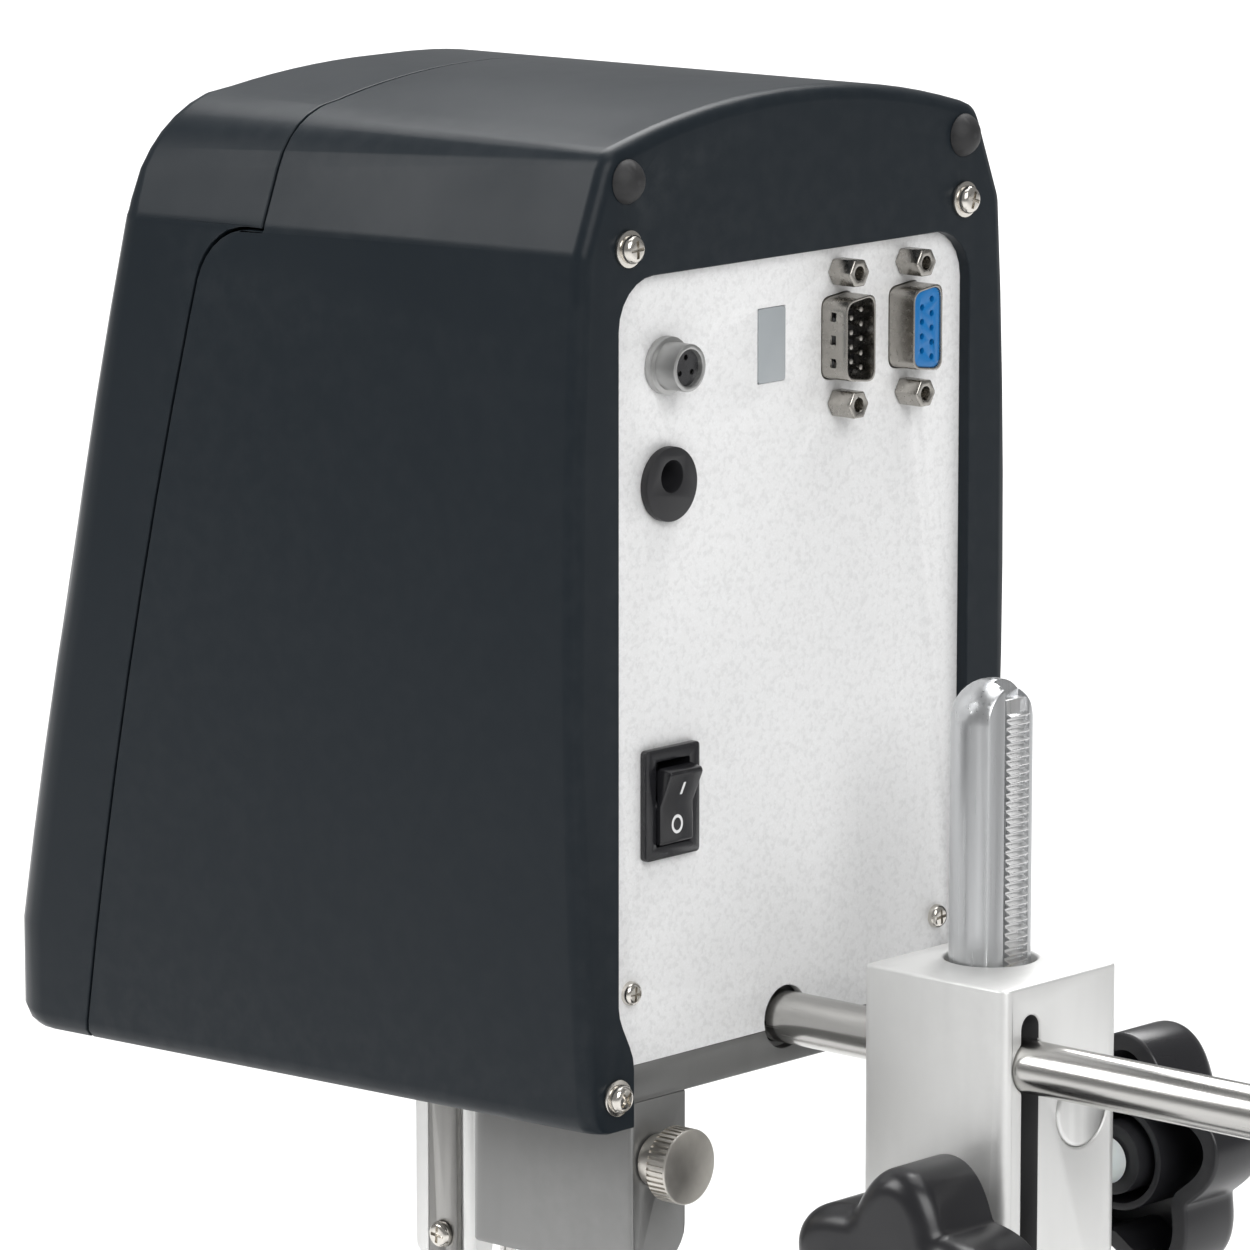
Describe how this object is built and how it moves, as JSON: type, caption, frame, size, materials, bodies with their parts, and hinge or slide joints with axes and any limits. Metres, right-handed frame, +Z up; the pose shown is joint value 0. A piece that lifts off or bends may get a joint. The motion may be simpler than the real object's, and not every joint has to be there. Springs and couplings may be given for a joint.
{
  "type": "rotational viscometer",
  "caption": "Benchtop rotational viscometer: dark two-part housing with display and sockets, guarded spindle, on a rack and pinion column stand with a levelling base.",
  "frame": {"origin": "on the bench, at the middle of the bounding box of the whole instrument", "axes": "+Z up along the column; the display faces -Y and the socket panel faces +Y; +X is to the right for someone reading the display"},
  "size_m": [0.214, 0.3, 0.4555],
  "materials": {
    "housing_slate": "satin slate moulding, fine texture",
    "base_paint": "satin slate paint on a casting",
    "panel_silver": "pale silver with a fine sparkle",
    "satin_aluminium": "satin, lightly brushed",
    "stainless": "drawn and brushed along its length",
    "nickel": "nickel plated",
    "brass": "turned",
    "spring_bronze": "rolled strip",
    "knob_plastic": "satin black moulding",
    "foot_plastic": "matt black moulding",
    "black_plastic": "semi-gloss black moulding",
    "plug_rubber": "matt black rubber",
    "nylon": "natural white nylon",
    "port_blue": "blue moulding",
    "board_green": "solder resist",
    "lcd_green": "display glass and its frame",
    "window_clear": "clear polished sheet",
    "window_grey": "smoked window",
    "level_glass": "clear dome over green fluid",
    "key_grey": "satin key cap",
    "key_green": "satin key cap",
    "key_red": "satin key cap"
  },
  "bodies": {
    "stand": {"base_casting": "base_paint", "column": "stainless", "column_nut": "nickel", "rack_strip": "stainless", "level_housing": "brass", "level_vial": "level_glass", "foot_lock_nuts": "nickel"},
    "foot_left": {"foot_front_left": "foot_plastic"},
    "foot_right": {"foot_front_right": "foot_plastic"},
    "foot_back": {"foot_rear": "foot_plastic"},
    "carriage": {"carriage_block": "satin_aluminium", "column_bushes": "brass", "pinion_bush": "nylon", "bore_plug": "nickel"},
    "lift": {"pinion_shaft": "stainless", "lift_knob": "knob_plastic"},
    "clamp": {"clamp_screw": "stainless", "clamp_knob": "knob_plastic"},
    "rod": {"support_rod": "stainless"},
    "head": {"front_cover": "housing_slate", "rear_cover": "housing_slate", "rear_panel": "panel_silver", "chassis_plate": "satin_aluminium", "motor_frame": "satin_aluminium", "rod_holder": "satin_aluminium", "drive_motor": "nickel", "main_board": "board_green", "display_window": "window_clear", "lcd_module": "lcd_green", "display_board": "board_green", "bearing_housing": "satin_aluminium", "shaft_bearings": "stainless", "guard_mount": "satin_aluminium", "spindle_guard": "stainless", "guard_screws": "nickel", "probe_clamp": "satin_aluminium", "switch_bezel": "black_plastic", "temp_socket": "nickel", "dc_jack": "black_plastic", "print_port_shell": "nickel", "print_port_insert": "black_plastic", "pc_port_shell": "nickel", "pc_port_insert": "port_blue", "jackscrews": "nickel", "sensor_window": "window_grey", "cover_screws": "nickel", "panel_screws": "nickel", "cover_plugs": "plug_rubber"},
    "drive": {"drive_rotor": "satin_aluminium", "torsion_spring": "spring_bronze"},
    "measuring": {"encoder_disc": "satin_aluminium", "spindle_shaft": "stainless", "spindle": "stainless"},
    "thumbscrew": {"probe_thumbscrew": "nickel"},
    "rocker": {"switch_rocker": "black_plastic"},
    "up_key": {"key_up": "key_grey"},
    "down_key": {"key_down": "key_grey"},
    "set_key": {"key_set": "key_grey"},
    "run_key": {"key_run": "key_green"},
    "stop_key": {"key_stop": "key_red"}
  },
  "joints": [
    {"name": "foot_left_turn", "type": "hinge", "parent": "stand", "child": "foot_left", "pos_m": [-0.086, -0.131, 0.01], "axis": [0, 0, 1], "range_deg": [-720, 720]},
    {"name": "foot_right_turn", "type": "hinge", "parent": "stand", "child": "foot_right", "pos_m": [0.086, -0.131, 0.01], "axis": [0, 0, 1], "range_deg": [-720, 720]},
    {"name": "foot_back_turn", "type": "hinge", "parent": "stand", "child": "foot_back", "pos_m": [0, 0.131, 0.01], "axis": [0, 0, 1], "range_deg": [-720, 720]},
    {"name": "carriage_lift", "type": "slide", "parent": "stand", "child": "carriage", "axis": [0, 0, 1], "range_m": [-0.08, 0.05]},
    {"name": "pinion_turn", "type": "hinge", "parent": "carriage", "child": "lift", "pos_m": [0, 0.07725, 0.2515], "axis": [1, 0, 0], "range_deg": [-680, 425]},
    {"name": "clamp_turn", "type": "hinge", "parent": "carriage", "child": "clamp", "pos_m": [0.03, 0.0791, 0.2384], "axis": [1, 0, 0], "range_deg": [-180, 0]},
    {"name": "rod_slide", "type": "slide", "parent": "carriage", "child": "rod", "axis": [0, 1, 0], "range_m": [-0.04, 0.014]},
    {"name": "head_tilt", "type": "hinge", "parent": "rod", "child": "head", "pos_m": [0.0135, 0, 0.2778], "axis": [0, 1, 0], "range_deg": [-8, 8]},
    {"name": "drive_turn", "type": "hinge", "parent": "head", "child": "drive", "pos_m": [0.0135, -0.045, 0.33], "axis": [0, 0, 1], "continuous": true},
    {"name": "spindle_turn", "type": "hinge", "parent": "head", "child": "measuring", "pos_m": [0.0135, -0.045, 0.25], "axis": [0, 0, 1], "continuous": true},
    {"name": "thumbscrew_turn", "type": "hinge", "parent": "head", "child": "thumbscrew", "pos_m": [0.0512, 0.03, 0.257], "axis": [0, 1, 0], "range_deg": [-360, 360]},
    {"name": "rocker_tip", "type": "hinge", "parent": "head", "child": "rocker", "pos_m": [0.0475, 0.0278, 0.325], "axis": [1, 0, 0], "range_deg": [0, 22]},
    {"name": "up_press", "type": "slide", "parent": "head", "child": "up_key", "axis": [0, 0.9716, -0.2366], "range_m": [0, 0.001], "stiffness_N_per_m": 900, "springref_m": -0.0005},
    {"name": "down_press", "type": "slide", "parent": "head", "child": "down_key", "axis": [0, 0.9716, -0.2366], "range_m": [0, 0.001], "stiffness_N_per_m": 900, "springref_m": -0.0005},
    {"name": "set_press", "type": "slide", "parent": "head", "child": "set_key", "axis": [0, 0.9716, -0.2366], "range_m": [0, 0.001], "stiffness_N_per_m": 900, "springref_m": -0.0005},
    {"name": "run_press", "type": "slide", "parent": "head", "child": "run_key", "axis": [0, 0.9716, -0.2366], "range_m": [0, 0.001], "stiffness_N_per_m": 900, "springref_m": -0.0005},
    {"name": "stop_press", "type": "slide", "parent": "head", "child": "stop_key", "axis": [0, 0.9716, -0.2366], "range_m": [0, 0.001], "stiffness_N_per_m": 900, "springref_m": -0.0005}
  ],
  "couplings": [
    {"joint": "pinion_turn", "follows": "carriage_lift", "rad_per_m": 148.15},
    {"joint": "drive_turn", "follows": "spindle_turn", "ratio": 1}
  ]
}
